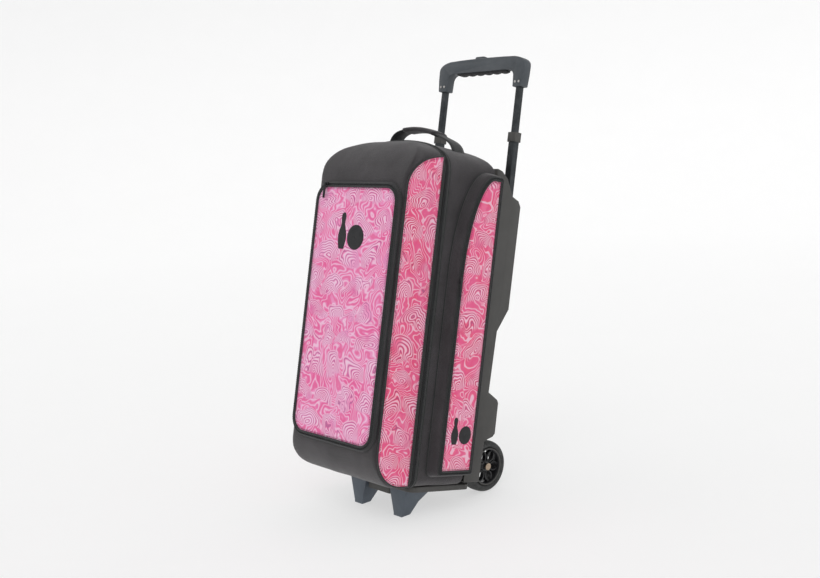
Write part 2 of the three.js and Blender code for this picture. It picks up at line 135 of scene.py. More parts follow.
def bag_coordinates(tree):
    """Object coordinates turned so that Z runs along the bag's own height."""
    source = tree.nodes.new("ShaderNodeTexCoord")
    turned = node(tree, "ShaderNodeMapping", vector_type="POINT")
    turned.inputs["Rotation"].default_value = (LEAN, 0, 0)
    tree.links.new(source.outputs["Object"], turned.inputs["Vector"])
    return turned.outputs[0]


def noise_value(tree, vector, scale, detail=3.0, roughness=0.55, distortion=0.0):
    made = node(tree, "ShaderNodeTexNoise", Scale=scale, Detail=detail, Roughness=roughness)
    made.inputs["Distortion"].default_value = distortion
    tree.links.new(vector, made.inputs["Vector"])
    return made.outputs[0]


def weave_height(tree, vector, thread):
    """A plain weave's height, with threads that run up the bag and across it."""
    parts = node(tree, "ShaderNodeSeparateXYZ")
    tree.links.new(vector, parts.inputs[0])
    turns = 2 * math.pi / thread
    around = maths(tree, "ADD", parts.outputs[0], parts.outputs[1])
    warp = maths(tree, "SINE", maths(tree, "MULTIPLY", around, turns))
    weft = maths(tree, "SINE", maths(tree, "MULTIPLY", parts.outputs[2], turns))
    return maths(tree, "MULTIPLY", warp, weft)


def add_bump(tree, bsdf, height, strength, distance, previous=None):
    bump = node(tree, "ShaderNodeBump", Strength=strength, Distance=distance)
    tree.links.new(height, bump.inputs["Height"])
    if previous is not None:
        tree.links.new(previous, bump.inputs["Normal"])
    tree.links.new(bump.outputs[0], bsdf.inputs["Normal"])
    return bump.outputs[0]


def set_colour(tree, bsdf, colour):
    tree.links.new(colour, bsdf.inputs["Base Color"])


def set_roughness(tree, bsdf, value, low, high):
    scaled = node(tree, "ShaderNodeMapRange", To_Min=low, To_Max=high)
    tree.links.new(value, scaled.inputs[0])
    tree.links.new(scaled.outputs[0], bsdf.inputs["Roughness"])


def plain_fabric(name, dark, light, thread=1.5 * MM):
    material, tree, bsdf = shader(name, dark, 0.85, Sheen_Weight=0.25, Sheen_Roughness=0.5)
    vector = bag_coordinates(tree)
    slubs = noise_value(tree, vector, 260, 4)
    cloud = noise_value(tree, vector, 14, 3)
    blend = maths(tree, "MULTIPLY", slubs, cloud)
    set_colour(tree, bsdf, ramp(tree, blend, (0.12, dark), (0.42, light)))
    set_roughness(tree, bsdf, slubs, 0.72, 0.95)
    first = add_bump(tree, bsdf, weave_height(tree, vector, thread), 0.35, 0.0006)
    add_bump(tree, bsdf, cloud, 0.25, 0.004, first)
    return material


def smooth_step(tree, value, low, high):
    made = node(tree, "ShaderNodeMapRange", interpolation_type="SMOOTHSTEP")
    made.inputs["From Min"].default_value = low
    made.inputs["From Max"].default_value = high
    tree.links.new(value, made.inputs[0])
    return made.outputs[0]


def fan_distance(tree, around, up):
    """Metres from the foot of the nearest fan, and the height above that foot, in staggered rows."""
    row_height, width = 66 * MM, 80 * MM
    rows = maths(tree, "DIVIDE", up, row_height)
    row = maths(tree, "FLOOR", rows)
    stagger = maths(tree, "MULTIPLY", maths(tree, "PINGPONG", row, 1.0), 0.5)
    columns = maths(tree, "ADD", maths(tree, "DIVIDE", around, width), stagger)
    across = maths(tree, "MULTIPLY", maths(tree, "SUBTRACT", maths(tree, "FRACT", columns), 0.5), width)
    above = maths(tree, "MULTIPLY", maths(tree, "SUBTRACT", maths(tree, "FRACT", rows), 0.16), row_height)
    across_square = maths(tree, "MULTIPLY", across, across)
    above_square = maths(tree, "MULTIPLY", above, above)
    return maths(tree, "SQRT", maths(tree, "ADD", across_square, above_square)), above


def patterned_fabric(name, deep, bright):
    """Pink printed cloth: warped rows of fans in white and plum arcs, with hot pink veins between."""
    material, tree, bsdf = shader(name, bright, 0.62, Sheen_Weight=0.15, Sheen_Roughness=0.4)
    vector = bag_coordinates(tree)
    swirl = node(tree, "ShaderNodeTexNoise", Scale=9, Detail=2, Roughness=0.5, Distortion=0.8)
    tree.links.new(vector, swirl.inputs["Vector"])
    shift = node(tree, "ShaderNodeVectorMath", operation="MULTIPLY_ADD")
    shift.inputs[1].default_value = (0.09, 0.09, 0.09)
    tree.links.new(swirl.outputs["Color"], shift.inputs[0])
    tree.links.new(vector, shift.inputs[2])
    parts = node(tree, "ShaderNodeSeparateXYZ")
    tree.links.new(shift.outputs[0], parts.inputs[0])
    around = maths(tree, "ADD", parts.outputs[0], parts.outputs[1])
    radius, above = fan_distance(tree, around, parts.outputs[2])
    in_reach = smooth_step(tree, radius, 38 * MM, 33 * MM)
    over_foot = smooth_step(tree, above, -12 * MM, -4 * MM)
    inside = maths(tree, "MULTIPLY", in_reach, over_foot)
    ring_spacing = 5.6 * MM
    rings = maths(tree, "SINE", maths(tree, "MULTIPLY", radius, 2 * math.pi / ring_spacing))
    ground = noise_value(tree, vector, 16, 3)
    base = mix(tree, smooth_step(tree, ground, 0.36, 0.62), deep, bright)
    field = noise_value(tree, shift.outputs[0], 13, 1.5)
    contour = maths(tree, "SINE", maths(tree, "MULTIPLY", field, 125))
    outside = maths(tree, "SUBTRACT", 1.0, inside)
    vein = maths(tree, "MULTIPLY", smooth_step(tree, contour, 0.1, 0.8), outside)
    base = mix(tree, maths(tree, "MULTIPLY", vein, 0.6), base, (0.80, 0.07, 0.25))
    pale_vein = maths(tree, "MULTIPLY", smooth_step(tree, contour, -0.55, -0.95), outside)
    base = mix(tree, maths(tree, "MULTIPLY", pale_vein, 0.7), base, (0.92, 0.66, 0.80))
    fade = smooth_step(tree, noise_value(tree, vector, 19, 2), 0.3, 0.5)
    crest = maths(tree, "MULTIPLY", smooth_step(tree, rings, -0.1, 0.5), inside)
    white = maths(tree, "MULTIPLY", crest, fade)
    base = mix(tree, maths(tree, "MULTIPLY", white, 0.72), base, (0.90, 0.72, 0.83))
    dark = maths(tree, "MULTIPLY", smooth_step(tree, rings, -0.62, -0.92), inside)
    base = mix(tree, maths(tree, "MULTIPLY", dark, 0.5), base, (0.24, 0.035, 0.16))
    set_colour(tree, bsdf, base)
    slubs = noise_value(tree, vector, 300, 3)
    set_roughness(tree, bsdf, slubs, 0.5, 0.75)
    first = add_bump(tree, bsdf, weave_height(tree, vector, 1.1 * MM), 0.25, 0.0004)
    add_bump(tree, bsdf, noise_value(tree, vector, 12, 2), 0.3, 0.006, first)
    return material


def ribbed_webbing(name, colour, light, rib):
    material, tree, bsdf = shader(name, colour, 0.7, Sheen_Weight=0.15)
    vector = bag_coordinates(tree)
    height = weave_height(tree, vector, rib)
    grain = noise_value(tree, vector, 420, 3)
    set_colour(tree, bsdf, ramp(tree, grain, (0.3, colour), (0.75, light)))
    set_roughness(tree, bsdf, grain, 0.55, 0.85)
    add_bump(tree, bsdf, height, 0.5, 0.0007)
    return material


def moulded_plastic(name, dark, light, roughness, grain_scale=900, grain_depth=0.0003):
    material, tree, bsdf = shader(name, dark, roughness)
    vector = bag_coordinates(tree)
    cloud = noise_value(tree, vector, 9, 4)
    scuffs = noise_value(tree, vector, 55, 6, 0.7)
    tone = maths(tree, "ADD", maths(tree, "MULTIPLY", cloud, 0.6), maths(tree, "MULTIPLY", scuffs, 0.4))
    # Painted highlight: every convex edge, found by pointiness, is mixed a quarter of the way towards a lighter
    # colour.
    highlight_geometry = node(tree, "ShaderNodeNewGeometry")
    edge = ramp(tree, highlight_geometry.outputs["Pointiness"], (0.5, (0, 0, 0)), (0.58, (1, 1, 1)))
    body = ramp(tree, tone, (0.35, dark), (0.68, light))
    edge_highlight_colour = tuple(min(1, c * 2.2) for c in light)
    set_colour(tree, bsdf, mix(tree, maths(tree, "MULTIPLY", edge, 0.25), body, edge_highlight_colour))
    set_roughness(tree, bsdf, scuffs, roughness - 0.1, roughness + 0.18)
    add_bump(tree, bsdf, noise_value(tree, vector, grain_scale, 2), 0.3, grain_depth)
    return material


def brushed_metal(name, dark, light, roughness):
    material, tree, bsdf = shader(name, dark, roughness, 0.85)
    source = bag_coordinates(tree)
    stretched = node(tree, "ShaderNodeMapping", vector_type="POINT")
    stretched.inputs["Scale"].default_value = (1, 1, 0.03)
    tree.links.new(source, stretched.inputs["Vector"])
    brush = noise_value(tree, stretched.outputs[0], 1600, 3)
    wear = noise_value(tree, source, 40, 5, 0.7)
    set_colour(tree, bsdf, ramp(tree, wear, (0.3, dark), (0.75, light)))
    set_roughness(tree, bsdf, brush, roughness - 0.08, roughness + 0.15)
    add_bump(tree, bsdf, brush, 0.12, 0.0002)
    return material


def rubber(name, dark, light):
    material, tree, bsdf = shader(name, dark, 0.85)
    vector = bag_coordinates(tree)
    dust = noise_value(tree, vector, 70, 6, 0.7)
    set_colour(tree, bsdf, ramp(tree, dust, (0.35, dark), (0.72, light)))
    set_roughness(tree, bsdf, dust, 0.7, 0.95)
    add_bump(tree, bsdf, noise_value(tree, vector, 700, 3), 0.35, 0.0004)
    return material


MATERIALS = {
    "case_fabric": plain_fabric("case_fabric", (0.020, 0.0165, 0.019), (0.047, 0.041, 0.046)),
    "patterned_fabric": patterned_fabric("patterned_fabric", (0.84, 0.17, 0.42), (0.86, 0.30, 0.56)),
    "patterned_side": patterned_fabric("patterned_side", (0.83, 0.075, 0.19), (0.85, 0.16, 0.32)),
    "webbing": ribbed_webbing("webbing", (0.010, 0.011, 0.012), (0.030, 0.032, 0.033), 2.4 * MM),
    "zip_tape": ribbed_webbing("zip_tape", (0.009, 0.011, 0.011), (0.024, 0.027, 0.027), 1.2 * MM),
    "thread": ribbed_webbing("thread", (0.03, 0.03, 0.032), (0.07, 0.07, 0.074), 0.5 * MM),
    "print_ink": rubber("print_ink", (0.012, 0.012, 0.014), (0.03, 0.03, 0.032)),
    "foam": plain_fabric("foam", (0.05, 0.05, 0.055), (0.1, 0.1, 0.11), 2.5 * MM),
    "shell_plastic": moulded_plastic("shell_plastic", (0.031, 0.030, 0.028), (0.058, 0.056, 0.053), 0.5),
    "foot_plastic": moulded_plastic("foot_plastic", (0.05, 0.062, 0.078), (0.095, 0.115, 0.14), 0.5),
    "grip_plastic": moulded_plastic("grip_plastic", (0.035, 0.042, 0.05), (0.075, 0.085, 0.095), 0.42),
    "soft_grip": rubber("soft_grip", (0.012, 0.012, 0.014), (0.03, 0.03, 0.032)),
    "tube_metal": brushed_metal("tube_metal", (0.028, 0.033, 0.036), (0.075, 0.08, 0.085), 0.36),
    "steel": brushed_metal("steel", (0.42, 0.41, 0.40), (0.66, 0.64, 0.62), 0.3),
    "bronze_cap": brushed_metal("bronze_cap", (0.30, 0.22, 0.15), (0.52, 0.42, 0.33), 0.28),
    "tyre_rubber": rubber("tyre_rubber", (0.028, 0.028, 0.028), (0.075, 0.077, 0.076)),
    "hub_plastic": moulded_plastic("hub_plastic", (0.006, 0.006, 0.007), (0.016, 0.016, 0.018), 0.28),
    "zip_metal": brushed_metal("zip_metal", (0.018, 0.018, 0.02), (0.05, 0.05, 0.055), 0.35),
}


# ------------------------------------------------------------ mesh building

def mesh_object(name, vertices, faces, smooth=True):
    """A mesh object from points in the bag's frame, placed in the row frame."""
    mesh = bpy.data.meshes.new(name)
    mesh.from_pydata([tuple(map(float, v)) for v in vertices], [], faces)
    mesh.transform(BAG)
    mesh.update()
    tidy = bmesh.new()
    tidy.from_mesh(mesh)
    bmesh.ops.remove_doubles(tidy, verts=tidy.verts, dist=1e-5)
    bmesh.ops.recalc_face_normals(tidy, faces=tidy.faces)
    tidy.to_mesh(mesh)
    tidy.free()
    mesh.polygons.foreach_set("use_smooth", [smooth] * len(mesh.polygons))
    made = bpy.data.objects.new(name, mesh)
    bpy.context.scene.collection.objects.link(made)
    return made


def applied(piece):
    """Turns the piece's modifiers into its mesh."""
    depsgraph = bpy.context.evaluated_depsgraph_get()
    mesh = bpy.data.meshes.new_from_object(piece.evaluated_get(depsgraph))
    piece.modifiers.clear()
    piece.data = mesh
    return piece


def dress(piece, body, slot, material=None, replaces=()):
    """Gives a piece its material, picked by its slot unless another is named, and the body that it rides on."""
    piece.data.materials.clear()
    piece.data.materials.append(MATERIALS[material or slot])
    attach(piece, body)
    if replaces:
        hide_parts(*replaces)
    return piece


def joined(name, pieces):
    """One object from several."""
    target = bmesh.new()
    for piece in pieces:
        target.from_mesh(piece.data)
    mesh = bpy.data.meshes.new(name)
    target.to_mesh(mesh)
    target.free()
    for piece in pieces:
        bpy.data.objects.remove(piece)
    made = bpy.data.objects.new(name, mesh)
    bpy.context.scene.collection.objects.link(made)
    return made


def sweep(name, path, section, outward, closed=True, smooth=True):
    """Carries a section along a path. outward holds a (sideways, lift) pair of directions for each of the
    path's points, and each of the section's points is its distance along those two."""
    count = len(path)
    vertices = []
    for point, (sideways, lift) in zip(path, outward):
        for a, b in section:
            vertices.append(point + sideways * a + lift * b)
    width = len(section)
    faces = []
    for i in range(count if closed else count - 1):
        j = (i + 1) % count
        for k in range(width):
            m = (k + 1) % width
            faces.append((i * width + k, j * width + k, j * width + m, i * width + m))
    if not closed:
        faces.append(tuple(range(width - 1, -1, -1)))
        faces.append(tuple((count - 1) * width + k for k in range(width)))
    return mesh_object(name, vertices, faces, smooth)


def rounded_rect(a0, b0, a1, b1, radius, step=6 * MM):
    """Points round a rectangle with round corners, evenly spaced, anticlockwise."""
    points = []

    def straight(p, q):
        length = math.dist(p, q)
        for i in range(max(1, round(length / step))):
            t = i / max(1, round(length / step))
            points.append((p[0] + (q[0] - p[0]) * t, p[1] + (q[1] - p[1]) * t))

    def corner(ca, cb, start):
        parts = max(4, round(radius * math.pi / 2 / step))
        for i in range(parts):
            angle = start + math.pi / 2 * i / parts
            points.append((ca + radius * math.cos(angle), cb + radius * math.sin(angle)))

    straight((a0 + radius, b0), (a1 - radius, b0))
    corner(a1 - radius, b0 + radius, -math.pi / 2)
    straight((a1, b0 + radius), (a1, b1 - radius))
    corner(a1 - radius, b1 - radius, 0)
    straight((a1 - radius, b1), (a0 + radius, b1))
    corner(a0 + radius, b1 - radius, math.pi / 2)
    straight((a0, b1 - radius), (a0, b0 + radius))
    corner(a0 + radius, b0 + radius, math.pi)
    return np.array(points)


def normals_of(points):
    """Outward directions in the outline's own plane, for a closed anticlockwise outline."""
    tangent = np.roll(points, -1, 0) - np.roll(points, 1, 0)
    tangent /= np.linalg.norm(tangent, axis=1)[:, None]
    return np.stack([tangent[:, 1], -tangent[:, 0]], 1)


class Plane:
    """The bag's front or one side: places (a, b) points on it, at a height away from it."""

    def __init__(self, side, level):
        self.side = side
        self.level = level

    def point(self, a, b, height):
        if self.side == "front":
            return Vector((a, self.level - height, b))
        sign = 1 if self.side == "right" else -1
        return Vector((sign * (self.level + height), a, b))

    def direction(self, a, b):
        return Vector((a, 0, b)) if self.side == "front" else Vector((0, a, b))

    @property
    def lift(self):
        return {"front": Vector((0, -1, 0)), "right": Vector((1, 0, 0)), "left": Vector((-1, 0, 0))}[self.side]


def band(name, plane, outline, section):
    """Sweeps a section of (outward, height) points round a closed outline on a plane."""
    path = [plane.point(a, b, 0) for a, b in outline]
    ways = [(plane.direction(*n), plane.lift) for n in normals_of(outline)]
    return sweep(name, path, section, ways)


def crown_panel(name, plane, outline, puff, thickness, edge=0.0, wrinkle=0.0, seed=0.0, loops=22, power=2.6):
    """A closed padded panel whose face swells from its edge to its middle, with soft wrinkles."""
    low, high = outline.min(0), outline.max(0)
    centre = (low + high) / 2
    half = (high - low) / 2
    spine = max(0.0, half[1] - half[0])
    vertices, faces = [], []
    count = len(outline)

    def loop(t, height_of):
        for a, b in outline:
            target_b = centre[1] + max(-spine, min(spine, b - centre[1]))
            pa = a + (centre[0] - a) * t
            pb = b + (target_b - b) * t
            vertices.append(plane.point(pa, pb, height_of(pa, pb, t)))

    def face_height(a, b, t):
        swell = edge + puff * (1 - (1 - t) ** power)
        fold = noise.noise(Vector((a * 9, b * 5 + seed, seed)))
        fold += 0.5 * noise.noise(Vector((a * 23, b * 16, seed)))
        near_edge = noise.noise(Vector((a * 55, b * 55, seed + 3))) * math.exp(-t * 9)
        return swell + wrinkle * min(1, t * 6) * fold + 0.5 * wrinkle * near_edge * min(1, t * 30)

    steps = [1 - (1 - i / loops) ** 1.6 for i in range(loops + 1)]
    for t in steps:
        loop(min(t, 0.999), face_height)
    back = len(vertices)
    for t in (0.0, 0.999):
        loop(t, lambda a, b, t: edge - thickness)
    for r in range(loops):
        for i in range(count):
            j = (i + 1) % count
            faces.append((r * count + i, r * count + j, (r + 1) * count + j, (r + 1) * count + i))
    for i in range(count):
        j = (i + 1) % count
        faces.append((back + i, back + count + i, back + count + j, back + j))
        faces.append((i, back + i, back + j, j))
    last = loops * count
    faces.append(tuple(last + i for i in range(count)))
    faces.append(tuple(back + count + i for i in reversed(range(count))))
    return mesh_object(name, vertices, faces)


def offset(outline, distance):
    return outline + normals_of(outline) * distance


def stitches(name, plane, outline, height_of, length=3.2 * MM, gap=2.2 * MM, width=0.9 * MM):
    """A row of short raised threads along an outline."""
    segments = np.roll(outline, -1, 0) - outline
    lengths = np.linalg.norm(segments, axis=1)
    ends = np.cumsum(lengths)
    vertices, faces = [], []
    position = 0.0
    while position < ends[-1] - length:
        index = int(np.searchsorted(ends, position))
        inside = position - (ends[index] - lengths[index])
        way = segments[index] / lengths[index]
        a, b = outline[index] + way * inside
        side = np.array([way[1], -way[0]]) * width / 2
        start = len(vertices)
        for along, rise in ((0, 0.0), (0.25, 0.55), (0.75, 0.55), (1, 0.0)):
            pa, pb = np.array([a, b]) + way * length * along
            height = height_of(pa, pb)
            for sign in (-1, 1):
                vertices.append(plane.point(pa + side[0] * sign, pb + side[1] * sign, height + rise * MM))
        for row in range(3):
            first = start + row * 2
            faces.append((first, first + 1, first + 3, first + 2))
        faces.append((start, start + 2, start + 4, start + 6, start + 7, start + 5, start + 3, start + 1))
        position += length + gap
    return mesh_object(name, vertices, faces, False)


def refined(source, bevel, segments=3, angle=35, merge=True):
    """A smoother copy of a CAD node: its flat faces cleaned up and its outer edges rounded."""
    mesh = frame["nodes"][source].data.copy()
    made = bpy.data.objects.new(source + "_finished", mesh)
    bpy.context.scene.collection.objects.link(made)
    work = bmesh.new()
    work.from_mesh(mesh)
    bmesh.ops.remove_doubles(work, verts=work.verts, dist=2e-5)
    if merge:
        bmesh.ops.dissolve_limit(work, angle_limit=math.radians(1), verts=work.verts, edges=work.edges)
    weight = work.edges.layers.float.new("bevel_weight_edge")
    for edge in work.edges:
        sharp = len(edge.link_faces) == 2 and edge.calc_face_angle() > math.radians(angle)
        edge[weight] = 1.0 if sharp and edge.is_convex else 0.0
    work.to_mesh(mesh)
    work.free()
    if bevel:
        rounding = made.modifiers.new("edges", "BEVEL")
        rounding.width = bevel
        rounding.segments = segments
        rounding.limit_method = "WEIGHT"
        rounding.harden_normals = True
    applied(made)
    made.data.polygons.foreach_set("use_smooth", [True] * len(made.data.polygons))
    made.data.set_sharp_from_angle(angle=math.radians(angle))
    return made


# ------------------------------------------------------------- fabric case

def case_outline(grow, step=6 * MM):
    """The case seen from the front, drawn in (x, z), grown outwards."""
    half = CASE_HALF + grow
    low = CASE_BOTTOM - grow
    high = CASE_TOP + grow
    eaves = EAVES + grow
    radius = 26 * MM

    def curve(p, q, r, parts):
        return [((1 - t) ** 2 * p[0] + 2 * t * (1 - t) * q[0] + t * t * r[0],
                 (1 - t) ** 2 * p[1] + 2 * t * (1 - t) * q[1] + t * t * r[1])
                for t in (i / parts for i in range(parts))]

    right = [(-half + radius + (2 * half - 2 * radius) * i / 44, low) for i in range(44)]
    for i in range(8):
        angle = -math.pi / 2 + math.pi / 2 * i / 8
        right.append((half - radius + radius * math.cos(angle), low + radius + radius * math.sin(angle)))
    rise = (low + radius, eaves - 30 * MM)
    right += [(half, rise[0] + (rise[1] - rise[0]) * i / 100) for i in range(100)]
    shoulder = (half - 44 * MM, eaves + 22 * MM)
    right += curve((half, rise[1]), (half - 2 * MM, eaves + 8 * MM), shoulder, 12)
    right += curve(shoulder, (half / 2, high), (0, high), 18)
    mirrored = [(-a, b) for a, b in reversed(right[44:])]
    return np.array(right + mirrored)


def soft_shell(source, name, voxel, puff, seed):
    """The CAD shell turned into sewn cloth: remeshed, its edges relaxed and its faces lightly puckered."""
    mesh = frame["nodes"][source].data.copy()
    made = bpy.data.objects.new(name, mesh)
    bpy.context.scene.collection.objects.link(made)
    mesh.transform(BAG_INVERSE)
    remesh = made.modifiers.new("remesh", "REMESH")
    remesh.mode = "VOXEL"
    remesh.voxel_size = voxel
    relax = made.modifiers.new("relax", "SMOOTH")
    relax.iterations = 6
    relax.factor = 0.6
    applied(made)
    mesh = made.data
    count = len(mesh.vertices)
    points = np.empty(count * 3)
    directions = np.empty(count * 3)
    mesh.vertices.foreach_get("co", points)
    mesh.vertex_normals.foreach_get("vector", directions)
    points = points.reshape(-1, 3)
    directions = directions.reshape(-1, 3)
    for i in range(count):
        x, y, z = points[i]
        broad = noise.noise(Vector((x * 8, y * 8, z * 6 + seed)))
        fine = noise.noise(Vector((x * 26, y * 26, z * 18 + seed)))
        points[i] += directions[i] * puff * (0.8 * broad + 0.35 * fine)
    mesh.vertices.foreach_set("co", points.reshape(-1))
    mesh.transform(BAG)
    mesh.polygons.foreach_set("use_smooth", [True] * len(mesh.polygons))
    mesh.update()
    return made


def add_case():
    body = soft_shell("case_body", "case_body_cloth", 3.4 * MM, 2.6 * MM, 2.0)
    dress(body, "chassis", "case_fabric", replaces=["case_body"])
    lid = soft_shell("lid", "lid_cloth", 3.4 * MM, 2.2 * MM, 7.0)
    dress(lid, "lid", "case_fabric", replaces=["lid"])


def loop_band(name, y, section, grow):
    """A band round the whole case at depth y; the section's points are (outward, towards the back)."""
    outline = case_outline(grow)
    path = [Vector((a, y, b)) for a, b in outline]
    ways = [(Vector((n[0], 0, n[1])), Vector((0, 1, 0))) for n in normals_of(outline)]
    return sweep(name, path, section, ways)


def round_section(radius, sides=10, centre=(0.0, 0.0)):
    return [(centre[0] + radius * math.cos(2 * math.pi * i / sides),
             centre[1] + radius * math.sin(2 * math.pi * i / sides)) for i in range(sides)]


def zip_teeth(name, path, across, lift, pitch=2.6 * MM, size=(2.6 * MM, 1.3 * MM, 1.2 * MM)):
    """Interlocked teeth along a closed path: small blocks that step from side to side."""
    vertices, faces = [], []
    count = len(path)
    distances = [(path[(i + 1) % count] - path[i]).length for i in range(count)]
    total = sum(distances)
    number = int(total / pitch)
    index, run = 0, 0.0
    for k in range(number):
        want = k * total / number
        while run + distances[index] < want:
            run += distances[index]
            index += 1
        way = (path[(index + 1) % count] - path[index]).normalized()
        centre = path[index] + way * (want - run)
        sideways = across[index]
        up = lift[index]
        centre = centre + sideways * (0.6 * MM if k % 2 else -0.6 * MM)
        start = len(vertices)
        for du in (0, 1):
            for da in (-0.5, 0.5):
                for ds in (-0.5, 0.5):
                    spot = centre + way * da * size[1] + sideways * ds * size[0]
                    vertices.append(spot + up * du * size[2])
        for face in ((0, 1, 3, 2), (4, 6, 7, 5), (0, 4, 5, 1), (2, 3, 7, 6), (0, 2, 6, 4), (1, 5, 7, 3)):
            faces.append(tuple(start + f for f in face))
    return mesh_object(name, vertices, faces, False)


def add_main_zip():
    zip_low, zip_high = bag_box("main_zip")
    tape_half = (zip_high[1] - zip_low[1]) / 2
    tape_y = (zip_high[1] + zip_low[1]) / 2
    tape = [(-1 * MM, -tape_half), (1.2 * MM, -tape_half), (2.0 * MM, -tape_half + 1.5 * MM),
            (2.0 * MM, tape_half - 1.5 * MM), (1.2 * MM, tape_half), (-1 * MM, tape_half)]
    body_tape = loop_band("main_zip_tape", tape_y, tape, 0)
    cord = loop_band("main_zip_cord", tape_y + tape_half, round_section(1.6 * MM, 10, (1.2 * MM, 0)), 0)
    piece = joined("main_zip_band", [body_tape, cord])
    dress(piece, "chassis", "zip_tape", replaces=["main_zip"])
    outline = case_outline(2.0 * MM)
    path = [Vector((a, tape_y - tape_half + 3.4 * MM, b)) for a, b in outline]
    ways = [Vector((n[0], 0, n[1])) for n in normals_of(outline)]
    teeth = zip_teeth("main_zip_teeth", path, [Vector((0, 1, 0))] * len(path), ways)
    dress(teeth, "chassis", "zip_tape", "zip_metal")
    pipe_low, pipe_high = bag_box("lid_piping")
    pipe_y = (pipe_low[1] + pipe_high[1]) / 2
    piping = loop_band("lid_piping_cord", pipe_y, round_section(2.3 * MM), 0.6 * MM)
    dress(piping, "lid", "zip_tape", replaces=["lid_piping"])


def lid_side_outline(inset):
    """The printed strip on the lid's side in (y, z): square behind, round at its two front corners."""
    back = LID_EDGE - 7 * MM
    front = LID_FRONT + inset
    low, high = CASE_BOTTOM + 6 * MM, EAVES + 2 * MM
    low_z, high_z = 50 * MM, 640 * MM
    low_y = LID_FRONT + 82 * MM
    high_y = LID_FRONT + 122 * MM
    start = math.acos((high_y - back) / (high_y - front))
    points = [(back, low + (high - 8 * MM - low) * i / 100) for i in range(100)]
    for i in range(26):
        angle = start * (1 - i / 26)
        a = high_y - (high_y - front) * math.cos(angle)
        points.append((a, high_z + (high - high_z) * math.sin(angle)))
    for i in range(90):
        points.append((front, high_z + (low_z - high_z) * i / 90))
    for i in range(16):
        angle = math.pi + math.pi / 2 * i / 16
        points.append((low_y + (low_y - front) * math.cos(angle), low_z + (low_z - low) * math.sin(angle)))
    for i in range(6):
        points.append((low_y + (back - low_y) * i / 6, low))
    return np.array(points)


def add_lid_strips():
    for side, _ in SIDES:
        plane = Plane(side, CASE_HALF)
        outline = lid_side_outline(4 * MM if side == "right" else 14 * MM)
        puff = 4 * MM if side == "right" else 1.5 * MM
        panel = crown_panel("lid_strip_" + side, plane, outline, puff, 3 * MM, 0.6 * MM, 0.9 * MM, 4.0)
        dress(panel, "lid", "patterned_fabric", "patterned_side")
        cord = band("lid_strip_piping_" + side, plane, outline, round_section(2.2 * MM, 10, (0, 0.5 * MM)))
        dress(cord, "lid", "zip_tape")
        inner = offset(outline, -5 * MM)
        seam = stitches("lid_strip_stitches_" + side, plane, inner, lambda a, b: 2.2 * MM)
        dress(seam, "lid", "webbing", "thread")


# ----------------------------------------------------------------- pockets

def zip_band_section(inner, outer, base, top):
    """A zip tape folded over an edge: (outward, height) from its inner to its outer side."""
    return [(inner, base), (inner, top - 0.6 * MM), (inner + 1 * MM, top), (outer - 2 * MM, top),
            (outer, top - 1.6 * MM), (outer, base)]


def side_pocket_outline(low, high, step=6 * MM):
    """The side pocket's rim in (y, z), with a front edge that sweeps back in a long curve to its top."""
    front, bottom = low[1], low[2]
    back, top = high[1], high[2]
    sweep_y, sweep_z = 90 * MM, 250 * MM
    points = []

    def line(p, q):
        parts = max(1, round(math.dist(p, q) / step))
        for i in range(parts):
            points.append((p[0] + (q[0] - p[0]) * i / parts, p[1] + (q[1] - p[1]) * i / parts))

    def arc(a, b, radius_a, radius_b, start):
        parts = max(4, round((radius_a + radius_b) / 2 * math.pi / 2 / step))
        for i in range(parts):
            angle = start + math.pi / 2 * i / parts
            points.append((a + radius_a * math.cos(angle), b + radius_b * math.sin(angle)))

    lower, rear = 16 * MM, 12 * MM
    line((front + lower, bottom), (back - rear, bottom))
    arc(back - rear, bottom + rear, rear, rear, -math.pi / 2)
    line((back, bottom + rear), (back, top - rear))
    arc(back - rear, top - rear, rear, rear, 0)
    line((back - rear, top), (front + sweep_y, top))
    arc(front + sweep_y, top - sweep_z, sweep_y, sweep_z, math.pi / 2)
    line((front, top - sweep_z), (front, bottom + lower))
    arc(front + lower, bottom + lower, lower, lower, math.pi)
    return np.array(points)


